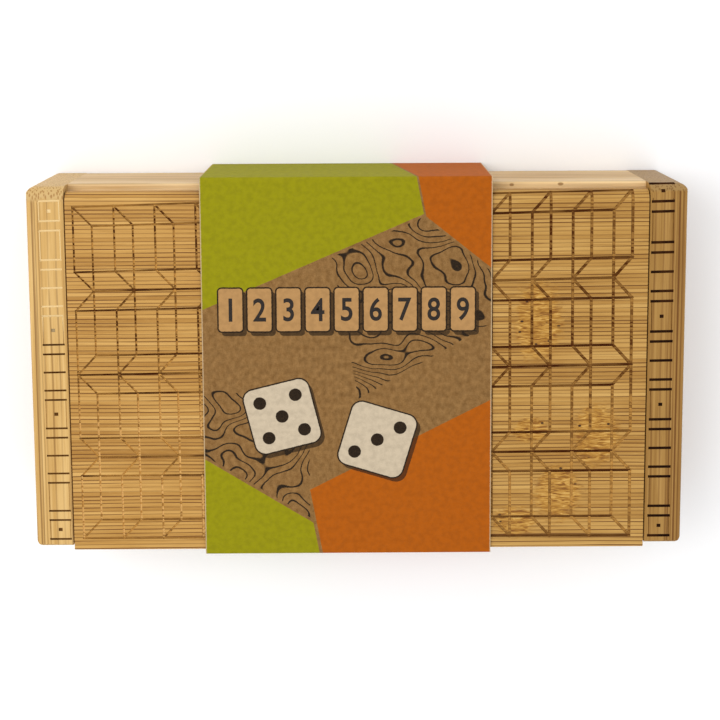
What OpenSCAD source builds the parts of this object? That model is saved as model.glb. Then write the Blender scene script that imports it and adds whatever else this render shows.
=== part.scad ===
// Shut the box dice game: a bamboo tray with a hinged lid, nine number tiles on a
// rod, two dice, and the kraft card sleeve that holds the box shut on the shelf.
// Millimetres. +Z is up, +Y points to the hinge side and X runs along the box.
// The origin is on the table, under the middle of the box.

/* [Box] */
// Length of the box, over both end boards
box_w = 240; // [225:1:280]
// Depth of the box, from the front wall to the back wall
box_d = 135; // [130:1:160]
// Height of the box, from the tray's base to the lid's face
box_h = 42; // [41:0.5:50]
// Thickness of the two end boards
end_t = 13.5; // [13:0.5:18]
// Thickness of the front and back walls
wall_t = 9; // [8:0.5:11]
// Thickness of the floor panel
floor_t = 3; // [2.5:0.5:3.5]
// Height of the groove that holds the floor panel, above the tray's base
floor_rise = 1; // [0.8:0.2:1.4]
// Radius of the upright corners of the end boards
corner_r = 3; // [1:0.5:4]
// Radius of the small rounding on the other edges
edge_r = 1; // [0.5:0.1:1.4]

/* [Lid] */
// Thickness of the lid
lid_t = 8; // [7.5:0.5:9]
// Gap between the lid and each end board
lid_side_gap = 0.5; // [0.3:0.1:1]
// Gap between the closed lid and the walls under it
lid_rest_gap = 0.3; // [0.1:0.1:0.5]
// Finger lip, how far the lid stands out in front of the front wall
lid_lip = 1.8; // [1:0.1:2]
// Strip of the back wall's top that shows behind the lid
hinge_setback = 2; // [1:0.5:4]
// Margin round the sunk field in the lid's underside
field_margin = 7; // [5:0.5:12]
// Depth of the sunk field
field_depth = 0.8; // [0.4:0.1:1.2]

/* [Number tiles] */
// Thickness of a tile
tile_t = 5.5; // [5:0.1:6]
// Gap between neighbouring tiles
tile_gap = 0.6; // [0.4:0.1:1]
// Lean of the standing tiles, up from level
tile_lean = 45; // [43:1:48]
// Radius of the rod that the tiles turn on
rod_r = 1.25; // [1:0.05:1.5]
// Running gap between the rod and a tile's bore, on the radius
rod_gap = 0.08; // [0.05:0.01:0.1]
// Depth of the tile bay, from the back wall's inner face to the divider rail
bay_d = 38.5; // [37:0.5:42]

/* [Divider rail and tile rest] */
// Width of the rail between the tiles and the rolling area
rail_w = 14; // [10:0.5:17]
// Height of the rail above the floor panel
rail_h = 4.5; // [4:0.1:5]
// Thickness of the strip that the tiles lean on
rest_t = 8.5; // [6:0.5:9]

/* [Dice] */
// Edge of a die
die_s = 16; // [14:0.5:18]
// Radius of a pip's ball cutter
pip_r = 2; // [1.8:0.1:2.2]
// Depth of a pip
pip_depth = 0.7; // [0.4:0.1:0.8]

/* [Hinge pins and dowels] */
// Radius of a hinge pin
pin_r = 1.5; // [1.2:0.1:1.8]
// Running gap between a hinge pin and the lid, on the radius
pin_gap = 0.08; // [0.05:0.01:0.1]
// Length of a pin or dowel on each side of its joint
pin_reach = 10; // [8:0.5:10]
// Radius of the dowels in the corner joints
dowel_r = 2.5; // [2:0.1:3]

/* [Card sleeve] */
// Width of the sleeve along the box
sleeve_w = 106; // [80:1:130]
// Distance of the sleeve's middle from the box's middle, towards the left end
sleeve_offset = 4; // [0:0.5:10]
// Thickness of the card
card_t = 0.5; // [0.3:0.1:0.6]
// Depth of the sleeve over its front and back panels
sleeve_d = 141.5; // [141.5:0.5:146]
// Width of the glued flap inside the back panel
flap_w = 18; // [10:1:25]

/* [Hidden] */
$fn = 64;

bamboo = [0.85, 0.66, 0.38];
bamboo_dark = [0.76, 0.55, 0.30];
steel = [0.72, 0.72, 0.74];
die_wood = [0.93, 0.85, 0.70];
kraft = [0.67, 0.51, 0.33];

skin = 0.1;             // how far a cutter runs past the face that it cuts
glue_gap = 0.05;        // gap round a glued pin or dowel, on the radius
card_gap = 0.1;         // gap between the tray's base and the card under it
card_top_gap = 0.5;     // gap between the lid's face and the card over it
groove_d = 3;           // depth of the floor panel's groove in walls and ends

base_z = card_t + card_gap;           // the tray's base, above the table
top_z = base_z + box_h;               // the lid's face and the end boards' top
rim_z = top_z - lid_t - lid_rest_gap; // the top of the front and back walls
floor_z = base_z + floor_rise + floor_t;
inner_w = box_w - 2 * end_t;
inner_d = box_d - 2 * wall_t;
front_y = -box_d / 2;
back_y = box_d / 2;

nose_r = lid_t / 2;                   // round of the lid's hinge edge
hinge_y = back_y - hinge_setback - nose_r;
hinge_z = top_z - nose_r;
lid_w = inner_w - 2 * lid_side_gap;
lid_front_y = front_y - lid_lip;
field_back_margin = 12;               // the field stops short of the hinge pins
field_corner_r = 4;

dowel_rows = [0.27, 0.74];            // heights of the dowels, as parts of the wall's height

tile_count = 9;
tile_end_r = tile_t / 2;
tile_edge_r = 0.8;                    // rounding of a tile's tip
tile_pitch = inner_w / tile_count;
tile_w = tile_pitch - tile_gap;
rail_back_y = back_y - wall_t - bay_d;
rail_top_z = floor_z + rail_h;
swing_gap = 0.4;                      // gap between a swinging tile's tip and the closed lid
rod_y = rail_back_y + tile_end_r + 1;
rod_z = rail_top_z + tile_end_r + 0.2;
rod_seat = 5;                         // length of the rod in each end board
tile_reach = sqrt(pow(top_z - lid_t - swing_gap - rod_z, 2) - pow(tile_end_r, 2));

rest_gap = 0.2;                       // gap between the tiles' backs and their rest
rest_front_y = rod_y + 6.7;
rest_back_y = rest_front_y + rest_t;

die_gap = 0.02;                       // gap under a die
die_round = 0.72;                     // ball that rounds a die, as a part of its edge
pip_step = 0.27;                      // distance of the outer pips from the middle, as a part of the edge
die_1_at = [-62, -30];
die_2_at = [-24, -40];

sleeve_top_z = top_z + card_top_gap + card_t;

// A flat shape drawn in Y and Z, made a bar along X and centred on it
module along_x(length) {
    rotate([90, 0, 90])
        linear_extrude(length, center = true)
            children();
}

// A round bar along X
module x_bar(length, radius) {
    rotate([0, 90, 0])
        cylinder(h = length, r = radius, center = true);
}

// A rectangle with true arcs at its corners, centred
module rounded_rect(width, depth, radius) {
    square([width - 2 * radius, depth], center = true);
    square([width, depth - 2 * radius], center = true);
    for (x = [-1, 1], y = [-1, 1])
        translate([x * (width / 2 - radius), y * (depth / 2 - radius)])
            circle(radius);
}

// The outline of an end board seen from the side. Its top edge at the hinge side
// has the same round as the lid's.
module end_profile() {
    translate([front_y, base_z])
        square([box_d, box_h - nose_r]);
    translate([front_y + edge_r, base_z])
        square([box_d - edge_r - nose_r, box_h]);
    translate([front_y, base_z])
        square([nose_r, box_h - edge_r]);
    translate([front_y + edge_r, top_z - edge_r])
        circle(edge_r);
    translate([back_y - nose_r, top_z - nose_r])
        circle(nose_r);
}

// The places of the two dowels in one corner joint
module at_dowels() {
    for (row = dowel_rows)
        translate([0, 0, base_z + row * (rim_z - base_z)])
            children();
}

// One end board. side is -1 for the left and 1 for the right
module end_board(side) {
    joint_x = side * inner_w / 2;
    color(bamboo)
        difference() {
            intersection() {
                along_x(box_w)
                    end_profile();
                translate([side * (box_w - end_t) / 2, 0, base_z])
                    linear_extrude(box_h)
                        intersection() {
                            translate([-side * corner_r, 0])
                                rounded_rect(end_t + 2 * corner_r, box_d, corner_r);
                            square([end_t, box_d], center = true);
                        }
                rotate([90, 0, 0])
                    translate([0, base_z + box_h / 2])
                        linear_extrude(box_d, center = true)
                            rounded_rect(box_w, box_h, edge_r);
            }
            translate([joint_x, 0, base_z + floor_rise + floor_t / 2])
                cube([2 * groove_d, inner_d + 2 * groove_d, floor_t], center = true);
            for (y = [front_y + wall_t / 2, back_y - wall_t / 2])
                translate([joint_x, y, 0])
                    at_dowels()
                        x_bar(2 * (pin_reach + skin), dowel_r + glue_gap);
            translate([joint_x, hinge_y, hinge_z])
                x_bar(2 * (pin_reach + skin), pin_r + glue_gap);
            translate([joint_x, rod_y, rod_z])
                x_bar(2 * (rod_seat + skin), rod_r + glue_gap);
        }
}

module left_end() {
    end_board(-1);
}

module right_end() {
    end_board(1);
}

// A long wall between the end boards, with the floor panel's groove and the dowel
// holes in its ends. side is -1 for the front and 1 for the back
module long_wall(side) {
    wall_y = side * (box_d - wall_t) / 2;
    color(bamboo)
        difference() {
            translate([0, wall_y, (base_z + rim_z) / 2])
                along_x(inner_w)
                    rounded_rect(wall_t, rim_z - base_z, edge_r);
            translate([0, side * inner_d / 2, base_z + floor_rise + floor_t / 2])
                cube([inner_w + 2 * skin, 2 * groove_d, floor_t], center = true);
            for (x = [-inner_w / 2, inner_w / 2])
                translate([x, wall_y, 0])
                    at_dowels()
                        x_bar(2 * (pin_reach + skin), dowel_r + glue_gap);
        }
}

module front_wall() {
    long_wall(-1);
}

module back_wall() {
    long_wall(1);
}

// The floor, held in grooves all round
module floor_panel() {
    color(bamboo_dark)
        translate([0, 0, base_z + floor_rise + floor_t / 2])
            cube([inner_w + 2 * groove_d, inner_d + 2 * groove_d, floor_t], center = true);
}

// The rail between the tiles and the rolling area. Shut tiles lie down on it
module divider_rail() {
    color(bamboo)
        along_x(inner_w)
            translate([rail_back_y - rail_w / 2, floor_z])
                polygon([
                    [-rail_w / 2, 0], [rail_w / 2, 0],
                    [rail_w / 2, rail_h - edge_r], [rail_w / 2 - edge_r, rail_h],
                    [edge_r - rail_w / 2, rail_h], [-rail_w / 2, rail_h - edge_r]
                ]);
}

// Height of the standing tiles' backs at a given y, less the gap to their rest
function tile_back_z(y) =
    rod_z + (y - rod_y) * tan(tile_lean) - (tile_end_r + rest_gap) / cos(tile_lean);

// The strip that the standing tiles lean on, its top planed to their lean
module tile_rest() {
    color(bamboo)
        along_x(inner_w)
            polygon([
                [rest_front_y, floor_z], [rest_back_y, floor_z],
                [rest_back_y, tile_back_z(rest_back_y)], [rest_front_y, tile_back_z(rest_front_y)]
            ]);
}

// The eight dowels that join the walls to the end boards
module corner_dowels() {
    color(bamboo_dark)
        for (x = [-inner_w / 2, inner_w / 2], y = [front_y + wall_t / 2, back_y - wall_t / 2])
            translate([x, y, 0])
                at_dowels()
                    x_bar(2 * pin_reach, dowel_r);
}

// One hinge pin, fast in the end board and free in the lid
module hinge_pin(side) {
    color(steel)
        translate([side * inner_w / 2, hinge_y, hinge_z])
            x_bar(2 * pin_reach, pin_r);
}

module hinge_pin_left() {
    hinge_pin(-1);
}

module hinge_pin_right() {
    hinge_pin(1);
}

// The rod that carries the nine tiles, seated in both end boards
module tile_rod() {
    color(steel)
        translate([0, rod_y, rod_z])
            x_bar(inner_w + 2 * rod_seat, rod_r);
}

// The outline of the lid seen from the side, with its full round at the hinge
module lid_profile() {
    translate([lid_front_y + edge_r, top_z - lid_t])
        square([hinge_y - lid_front_y - edge_r, lid_t]);
    translate([lid_front_y, top_z - lid_t + edge_r])
        square([hinge_y - lid_front_y, lid_t - 2 * edge_r]);
    for (z = [top_z - lid_t + edge_r, top_z - edge_r])
        translate([lid_front_y + edge_r, z])
            circle(edge_r);
    translate([hinge_y, hinge_z])
        circle(nose_r);
}

// The lid, drawn closed. It swings up about the pins in its hinge edge
module lid_board() {
    field_front = lid_front_y + field_margin;
    field_back = hinge_y - field_back_margin + nose_r;
    color(bamboo)
        difference() {
            along_x(lid_w)
                lid_profile();
            translate([0, (field_front + field_back) / 2, top_z - lid_t - skin])
                linear_extrude(field_depth + skin)
                    rounded_rect(lid_w - 2 * field_margin, field_back - field_front, field_corner_r);
            for (x = [-inner_w / 2, inner_w / 2])
                translate([x, hinge_y, hinge_z])
                    x_bar(2 * (pin_reach + skin), pin_r + pin_gap);
        }
}

// The outline of a tile, its bore at the origin and its tip along the first axis
module tile_profile() {
    difference() {
        union() {
            circle(tile_end_r);
            translate([0, -tile_end_r])
                square([tile_reach - tile_edge_r, tile_t]);
            translate([0, tile_edge_r - tile_end_r])
                square([tile_reach, tile_t - 2 * tile_edge_r]);
            for (side = [-1, 1])
                translate([tile_reach - tile_edge_r, side * (tile_end_r - tile_edge_r)])
                    circle(tile_edge_r);
        }
        circle(rod_r + rod_gap);
    }
}

// One of the nine tiles, standing and leaning back on its rest
module number_tile(number) {
    color(bamboo)
        translate([(number - (tile_count + 1) / 2) * tile_pitch, rod_y, rod_z])
            along_x(tile_w)
                rotate(tile_lean)
                    tile_profile();
}

// The places of the pips for one number, in units of pip_step
function pips(number) = concat(
    number % 2 == 1 ? [[0, 0]] : [],
    number > 1 ? [[-1, -1], [1, 1]] : [],
    number > 3 ? [[-1, 1], [1, -1]] : [],
    number == 6 ? [[-1, 0], [1, 0]] : []
);

// The ball cutters for one face, which looks along +Z
module face_pips(number) {
    for (p = pips(number))
        translate([p[0] * pip_step * die_s, p[1] * pip_step * die_s, die_s / 2 + pip_r - pip_depth])
            sphere(pip_r);
}

// One die. Opposite faces add up to seven
module die(at, turn) {
    color(die_wood)
        translate([at[0], at[1], floor_z + die_gap + die_s / 2])
            rotate(turn)
                difference() {
                    intersection() {
                        cube(die_s, center = true);
                        sphere(die_round * die_s);
                    }
                    face_pips(6);
                    rotate([180, 0, 0])
                        face_pips(1);
                    rotate([90, 0, 0])
                        face_pips(2);
                    rotate([-90, 0, 0])
                        face_pips(5);
                    rotate([0, 90, 0])
                        face_pips(3);
                    rotate([0, -90, 0])
                        face_pips(4);
                }
}

module die_1() {
    die(die_1_at, [0, 0, 28]);
}

module die_2() {
    die(die_2_at, [90, 0, -17]);
}

// One panel of the sleeve, with mitred folds. width is its outer width, and the
// panel looks along +Z before it is turned by angle about the X axis
module sleeve_panel(width, height, angle) {
    color(kraft)
        translate([-sleeve_offset, 0, sleeve_top_z / 2])
            rotate([angle, 0, 0])
                along_x(sleeve_w)
                    polygon([
                        [-width / 2, height / 2], [width / 2, height / 2],
                        [width / 2 - card_t, height / 2 - card_t],
                        [card_t - width / 2, height / 2 - card_t]
                    ]);
}

module sleeve_top_panel() {
    sleeve_panel(sleeve_d, sleeve_top_z, 0);
}

module sleeve_front_panel() {
    sleeve_panel(sleeve_top_z, sleeve_d, 90);
}

module sleeve_bottom_panel() {
    sleeve_panel(sleeve_d, sleeve_top_z, 180);
}

module sleeve_back_panel() {
    sleeve_panel(sleeve_top_z, sleeve_d, -90);
}

// The flap that closes the loop, glued inside the back panel
module sleeve_glue_flap() {
    color(kraft)
        translate([-sleeve_offset, sleeve_d / 2 - 1.5 * card_t, card_t + flap_w / 2])
            cube([sleeve_w, card_t, flap_w], center = true);
}

left_end();
right_end();
front_wall();
back_wall();
floor_panel();
divider_rail();
tile_rest();
corner_dowels();
hinge_pin_left();
hinge_pin_right();
tile_rod();
lid_board();
for (number = [1 : tile_count])
    number_tile(number);
die_1();
die_2();
sleeve_top_panel();
sleeve_front_panel();
sleeve_bottom_panel();
sleeve_back_panel();
sleeve_glue_flap();
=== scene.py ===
import math
from functools import reduce
from types import SimpleNamespace

import bmesh
import bpy
import numpy as np
from mathutils import Matrix, Vector


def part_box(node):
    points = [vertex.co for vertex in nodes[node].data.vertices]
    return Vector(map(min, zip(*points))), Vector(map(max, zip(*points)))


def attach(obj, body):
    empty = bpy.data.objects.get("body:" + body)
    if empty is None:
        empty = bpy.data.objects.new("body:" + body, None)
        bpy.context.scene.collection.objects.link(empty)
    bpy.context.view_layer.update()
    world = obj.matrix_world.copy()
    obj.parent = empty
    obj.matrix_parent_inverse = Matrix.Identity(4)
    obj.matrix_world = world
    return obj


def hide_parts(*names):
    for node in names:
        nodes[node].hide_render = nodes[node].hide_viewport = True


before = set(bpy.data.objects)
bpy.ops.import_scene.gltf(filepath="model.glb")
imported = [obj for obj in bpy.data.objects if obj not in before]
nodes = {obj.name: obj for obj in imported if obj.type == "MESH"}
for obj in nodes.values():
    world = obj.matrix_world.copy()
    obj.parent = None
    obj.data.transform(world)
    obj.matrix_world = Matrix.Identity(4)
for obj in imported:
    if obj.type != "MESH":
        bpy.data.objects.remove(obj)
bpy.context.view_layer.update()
mm = 0.001  # every length below is in millimetres times mm, and Blender works in metres
print("frame loaded:", len(nodes), "nodes")


# Shader building blocks. A Field is one output of a shader node. Arithmetic on it adds maths
# nodes to the same node tree, of the vector kind for a vector or a colour

class Field:
    def __init__(self, socket):
        self.socket, self.tree = socket, socket.id_data

    def __add__(self, other):
        return calc("ADD", self, other)

    def __sub__(self, other):
        return calc("SUBTRACT", self, other)

    def __rsub__(self, other):
        return calc("SUBTRACT", other, self)

    def __mul__(self, other):
        return calc("MULTIPLY", self, other)

    def __truediv__(self, other):
        return calc("DIVIDE", self, other)

    def __abs__(self):
        return calc("ABSOLUTE", self)


def paint(red, green, blue):
    # A colour as seen on screen, 0 to 255, made linear
    shares = np.array([red, green, blue]) / 255
    linear = np.where(shares <= 0.04045, shares / 12.92, ((shares + 0.055) / 1.055) ** 2.4)
    return (*[float(share) for share in linear], 1.0)


def newMaterial(name, roughness, shine=0.22):
    # The material, its node tree and the sockets of its shader
    material = bpy.data.materials.new(name)
    material.use_nodes = True
    sockets = material.node_tree.nodes["Principled BSDF"].inputs
    sockets["Roughness"].default_value = roughness
    sockets["Specular IOR Level"].default_value = shine
    return material, material.node_tree, sockets


def plug(socket, value):
    # A socket takes either a Field or a plain value
    if isinstance(value, Field):
        value.tree.links.new(value.socket, socket)
    else:
        socket.default_value = value


def made(tree, kind, inputs, output=0, **settings):
    # One output of a new node, with its inputs by name or number and its settings
    node = tree.nodes.new("ShaderNode" + kind)
    for key, value in settings.items():
        setattr(node, key, value)
    for key, value in inputs.items():
        plug(node.inputs[key], value)
    return Field(node.outputs[output])


def calc(operation, *values):
    field = next(value for value in values if isinstance(value, Field))
    kind = "Math" if field.socket.type == "VALUE" else "VectorMath"
    output = "Value" if operation in ("LENGTH", "DOT_PRODUCT") else 0
    return made(field.tree, kind, dict(enumerate(values)), output, operation=operation)


def extreme(operation, values):
    return reduce(lambda first, second: calc(operation, first, second), values)


def spotOn(tree, factors):
    # The object's own coordinates in millimetres, times one factor or three
    return made(tree, "TexCoord", {}, "Object") * tuple(np.broadcast_to(factors, 3) / mm)


def split(value, kind="XYZ"):
    # The three numbers in a vector, or with kind "Color" in a colour
    node = value.tree.nodes.new("ShaderNodeSeparate" + kind)
    plug(node.inputs[0], value)
    return [Field(output) for output in node.outputs]


def rise(value, low, high):
    # 0 up to low, 1 from high, and a smooth step between them. It falls if high is the lower one
    inputs = {"Value": value, "From Min": low, "From Max": high}
    return made(value.tree, "MapRange", inputs, interpolation_type="SMOOTHSTEP")


def blend(share, first, second, way="MIX"):
    tree = next(value.tree for value in (share, first, second) if isinstance(value, Field))
    inputs = {0: share, 6: first, 7: second}  # sockets 6 and 7 are the two colours
    return made(tree, "Mix", inputs, 2, data_type="RGBA", blend_type=way)


def noise(where, detail=2.0, distortion=0.0, output=0):
    inputs = {"Vector": where, "Scale": 1.0, "Detail": detail, "Distortion": distortion}
    return made(where.tree, "TexNoise", inputs, output, noise_dimensions="3D")


def pointReach(where):
    # The distance to the nearest of many scattered points
    inputs = {"Vector": where, "Scale": 1.0}
    return made(where.tree, "TexVoronoi", inputs, "Distance", voronoi_dimensions="3D", feature="F1")


def shades(value, *stops):
    # A colour ramp through (position, colour) stops
    colour = made(value.tree, "ValToRGB", {0: value})
    elements = colour.socket.node.color_ramp.elements
    while len(elements) < len(stops):
        elements.new(0.5)
    for element, (position, shade) in zip(elements, stops):
        element.position = position
        element.color = shade
    return colour


def finishLook(sockets, colour, height, depth):
    # Colour and relief of a shader
    plug(sockets["Base Color"], colour)
    inputs = {"Strength": 1.0, "Distance": depth, "Height": height}
    plug(sockets["Normal"], made(height.tree, "Bump", inputs))


# Bamboo. axes are the board's directions along its strips, across them and through it

bambooLook = {
    "axes": (0, 1, 2),
    "turn": 0.0,  # turn about X that lays the pattern on a leaning tile
    "stripWidth": 1.45,
    "evenness": 0.55,  # 0 for equal strips, 1 for strips of any width
    "deep": paint(160, 112, 46),
    "middle": paint(190, 143, 72),
    "pale": paint(214, 170, 98),
    "joint": paint(100, 56, 8),
    "jointShare": 1.0,
    "jointWidth": 0.2,
    "fibre": 0.4,
    "streaks": 0.35,
    "laminations": (),  # dark glue lines: (place across, half width, strength)
    "knots": (),  # (place, radius)
    "knot": paint(126, 88, 44),
    "drawn": (0.03, 0.12),  # how fast a burn's patches change along and across the strips
    "patches": 0.8,
    "firmFrom": None,
    "faintTo": None,
    "faintness": (0.6, 0.3),  # at the left and at the right end
    "scratched": None,  # where it is faintest the line is only scratched pale
    "paleFrom": None,
    "paleLine": paint(232, 208, 158),
    "burrs": (),
    "burrTones": (
        (0.38, paint(122, 68, 8)), (0.47, paint(166, 112, 32)),
        (0.57, paint(196, 144, 62)), (0.69, paint(224, 178, 98)),
    ),
    "speck": paint(50, 20, 4),
    # Painted light and tone: the colour is multiplied past a stretch, lighter where a highlight is painted,
    # darker where shade is painted and where a board's tone darkens
    "shaded": (),  # (axis, from, to, what the colour is multiplied by past that stretch)
    "nose": None,  # (start across, radius, height of the middle) of a round edge that strips run over
    "grainFrom": None,  # end grain that runs up over the round edge from the first place to the second
    "grainEnd": paint(214, 178, 120),
    "grainDot": paint(140, 94, 44),
    "roughness": 0.46,
    "relief": 0.05 * mm,
}


def stripPattern(tree, look):
    # The board's own coordinates in millimetres, and its strips as the cells of a
    # one-dimensional Voronoi pattern whose line wanders a little
    where = spotOn(tree, 1)
    facing = made(tree, "TexCoord", {}, "Normal")
    if look.turn:
        where, facing = (
            made(tree, "Mapping", {"Vector": value, "Rotation": (look.turn, 0, 0)}, vector_type="POINT")
            for value in (where, facing)
        )
    parts = split(where)
    along, across, through = (parts[axis] for axis in look.axes)
    board = made(tree, "CombineXYZ", {0: along, 1: across, 2: through})
    if look.nose:  # past its start the distance across becomes the way round the edge
        start, radius, centre = look.nose
        wayRound = calc("ARCTAN2", across - start, through - centre) * radius
        across = calc("MINIMUM", across, start) + calc("MAXIMUM", wayRound, 0.0)
    drift = noise(board * (0.012, 0.03, 0.03), 1.0) - 0.5
    line = (across + drift * 1.6) / look.stripWidth
    inputs = {"W": line, "Scale": 1.0, "Randomness": look.evenness}
    tones, edge = (
        made(tree, "TexVoronoi", inputs, output, voronoi_dimensions="1D", feature=feature)
        for feature, output in (("F1", "Color"), ("DISTANCE_TO_EDGE", "Distance"))
    )
    end = abs(split(facing)[look.axes[0]])
    return board, split(tones, "Color"), across, edge, end


def burrPatches(board, patches):
    # 1 inside the ellipses (along, across, half length, half width), with a ragged edge
    reaches = [
        calc("LENGTH", (board - (along, across, 0)) * (1 / halfLength, 1 / halfWidth, 0))
        for along, across, halfLength, halfWidth in patches
    ]
    ragged = noise(board * (0.35, 0.8, 0), 3.0)
    return rise(extreme("MINIMUM", reaches) + ragged, 1.65, 1.2)


def bambooMaterial(name, **changes):
    look = SimpleNamespace(**{**bambooLook, **changes})
    material, tree, sockets = newMaterial(name, look.roughness)
    board, tones, across, edge, end = stripPattern(tree, look)
    slow = noise(board * (0.02, 0.08, 0.02))
    fibre = noise(board * (0.05, 2.6, 2.6), 3.0)
    hair = noise(board * (0.2, 8.0, 8.0))
    tone = tones[0] * 0.45 + slow * 0.8 - 0.13
    colour = shades(tone, (0.12, look.deep), (0.5, look.middle), (0.88, look.pale))
    colour = blend(rise(fibre + hair * 0.5, 0.72, 1.0) * look.fibre, colour, look.deep)
    streaks = noise(board * (0.015, 0.8, 0.8), 4.0)
    colour = blend(rise(streaks, 0.52, 0.66) * look.streaks, colour, look.deep)
    colour = blend(rise(streaks, 0.46, 0.34) * look.streaks, colour, look.pale)
    colour = blend(rise(hair, 0.58, 0.75) * look.fibre, colour, look.pale)
    patchy = calc("MULTIPLY_ADD", rise(noise(board * (0.02, 0.5, 0.5), 1.0), 0.38, 0.62), 0.6, 0.4)
    gap = rise(edge, look.jointWidth, 0.03) * patchy * look.jointShare
    for place, halfWidth, strength in look.laminations:
        glue = rise(abs(across - place) + hair * 0.1, halfWidth + 0.2, halfWidth - 0.05)
        gap = calc("MAXIMUM", gap, glue * strength)
    colour = blend(gap, colour, look.joint)
    if look.burrs:
        patch = burrPatches(board, look.burrs)
        curl = noise(board * (0.22, 1.3, 0.9), 3.0, 1.1)
        colour = blend(patch * 0.8, colour, shades(curl, *look.burrTones))
        speck = rise(pointReach(board * (0.2, 0.3, 0.2)), 0.17, 0.08) * patch
        colour = blend(speck, colour, look.speck)
    for place, radius in look.knots:
        reach = calc("LENGTH", (board - place) * (0.6, 1, 1)) + fibre * (radius * 0.8)
        colour = blend(rise(reach, radius * 1.3, radius * 0.9) * 0.8, colour, look.knot)
    pore = rise(pointReach(board * (0.5, 1.4, 1.4)), 0.5, 0.28)
    cut = blend(pore * 0.9, look.grainEnd, look.grainDot)
    cut = blend(slow * 0.5, cut, look.middle)
    endMask = rise(end, 0.2, 0.5)
    parts = split(board)
    if look.grainFrom:
        ragged = calc("MULTIPLY_ADD", tones[2], 1.5, parts[0])
        endMask = calc("MAXIMUM", endMask, rise(ragged, *look.grainFrom))
    colour = blend(endMask, colour, cut)
    # Painted light and tone: multipliers past given stretches paint highlights and shade, and darken a
    # board's tone along it
    for axis, start, stop, factors in look.shaded:
        colour = blend(rise(parts[axis], start, stop), colour, (*factors, 1), "MULTIPLY")
    finishLook(sockets, colour, fibre * 0.5 - gap - pore * endMask * 0.6, look.relief)
    plug(sockets["Roughness"], calc("MULTIPLY_ADD", fibre, 0.25, look.roughness - 0.1))
    return material


def burntMaterial(name, dark, light, dash, **changes):
    # The burnt floor of an engraved line. dash is how far its tone follows the strips
    look = SimpleNamespace(**{**bambooLook, **changes})
    material, tree, sockets = newMaterial(name, 0.8, 0.08)
    board, tones = stripPattern(tree, look)[:2]
    along, across = split(board)[:2]
    patchy = noise(board * (*look.drawn, 0.1))
    dots = noise(board * (0.3, 1.15, 0.3), 1.0)
    share = rise(dots, 0.44, 0.56) * dash + rise(tones[1], 0.4, 0.9) * (dash * 0.4)
    share = share + rise(patchy, 0.44, 0.62) * look.patches
    if look.firmFrom:  # the burn is patchy before this stretch and firm after it
        share = share * calc("MULTIPLY_ADD", rise(along, *look.firmFrom), -0.5, 1.0)
    if look.faintTo:  # and it weakens towards the front, most of all at the left
        left, right = look.faintness
        weak = calc("MULTIPLY_ADD", rise(along, 20, -60), left - right, right)
        weak = rise(across, *look.faintTo) * weak
        share = share + weak
    colour = blend(made(tree, "Clamp", {0: share}), dark, light)
    if look.scratched:
        colour = blend(rise(weak, 0.3, 0.58) * rise(dots, 0.4, 0.52), colour, look.scratched)
    if look.paleFrom:  # the laser hardly browned the wood past this stretch
        colour = blend(rise(along, *look.paleFrom), colour, look.paleLine)
    finishLook(sockets, colour, noise(board * (2.0, 2.0, 2.0)), 0.06 * mm)
    return material


# Mesh building blocks

def placed(name, data):
    holder = bpy.data.objects.new(name, data)
    bpy.context.scene.collection.objects.link(holder)
    return holder


def coordinates(mesh):
    points = np.empty(len(mesh.vertices) * 3)
    mesh.vertices.foreach_get("co", points)
    return points.reshape(-1, 3)


def meshPiece(name, points, faces, materials, faceMaterials=None):
    mesh = bpy.data.meshes.new(name)
    mesh.from_pydata(points.tolist(), [], [list(face) for face in faces])
    for material in materials:
        mesh.materials.append(material)
    if faceMaterials is not None:
        mesh.polygons.foreach_set("material_index", np.asarray(faceMaterials, np.int32))
    mesh.update()
    return placed(name, mesh)


def merged(points, step):
    # Points that agree to within a step in millimetres count as one: the first of each group, and
    # the group that every point is in
    places = np.round(points / (step * mm)).astype(np.int64)
    _, firsts, groups = np.unique(places, axis=0, return_index=True, return_inverse=True)
    return firsts, groups.reshape(-1)


def welded(points, faces):
    # Joins points closer than a tenth of a micron, and drops the faces that this closes
    firsts, groups = merged(points, 0.0001)
    faces = groups[faces]
    whole = (faces != np.roll(faces, 1, axis=1)).all(axis=1)
    return points[firsts], faces[whole]


def boardFromNode(nodeName, pieceName, material, edgeRound):
    # A joined copy of a CAD node with flat faces made whole and its sharp edges eased
    source = nodes[nodeName].data
    source.calc_loop_triangles()
    corners = np.empty(len(source.loop_triangles) * 3, np.int32)
    source.loop_triangles.foreach_get("vertices", corners)
    points, faces = welded(coordinates(source), corners.reshape(-1, 3))
    piece = meshPiece(pieceName, points, faces, [material])
    work = bmesh.new()
    work.from_mesh(piece.data)
    bmesh.ops.dissolve_limit(work, angle_limit=math.radians(1), verts=work.verts, edges=work.edges)
    sharp = [
        edge for edge in work.edges
        if len(edge.link_faces) == 2 and edge.calc_length() > 3 * mm
        and edge.calc_face_angle() > math.radians(50)
    ]
    bmesh.ops.bevel(
        work, geom=sharp, offset=edgeRound, segments=3, profile=0.5, affect="EDGES", clamp_overlap=True
    )
    work.to_mesh(piece.data)
    work.free()
    return piece


def finishShading(piece, angle=32):
    piece.data.shade_smooth()
    piece.data.set_sharp_from_angle(angle=math.radians(angle))


def carve(piece, cutter):
    # Cuts the cutter out of the piece for good. The new faces keep the cutter's material
    cut = piece.modifiers.new("carve", "BOOLEAN")
    cut.operation = "DIFFERENCE"
    cut.solver = "EXACT"
    cut.use_self = True
    cut.material_mode = "TRANSFER"
    cut.object = cutter
    scene = bpy.context.evaluated_depsgraph_get()
    carved = bpy.data.meshes.new_from_object(piece.evaluated_get(scene))
    piece.modifiers.clear()
    piece.data = carved
    bpy.data.objects.remove(cutter)


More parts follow.
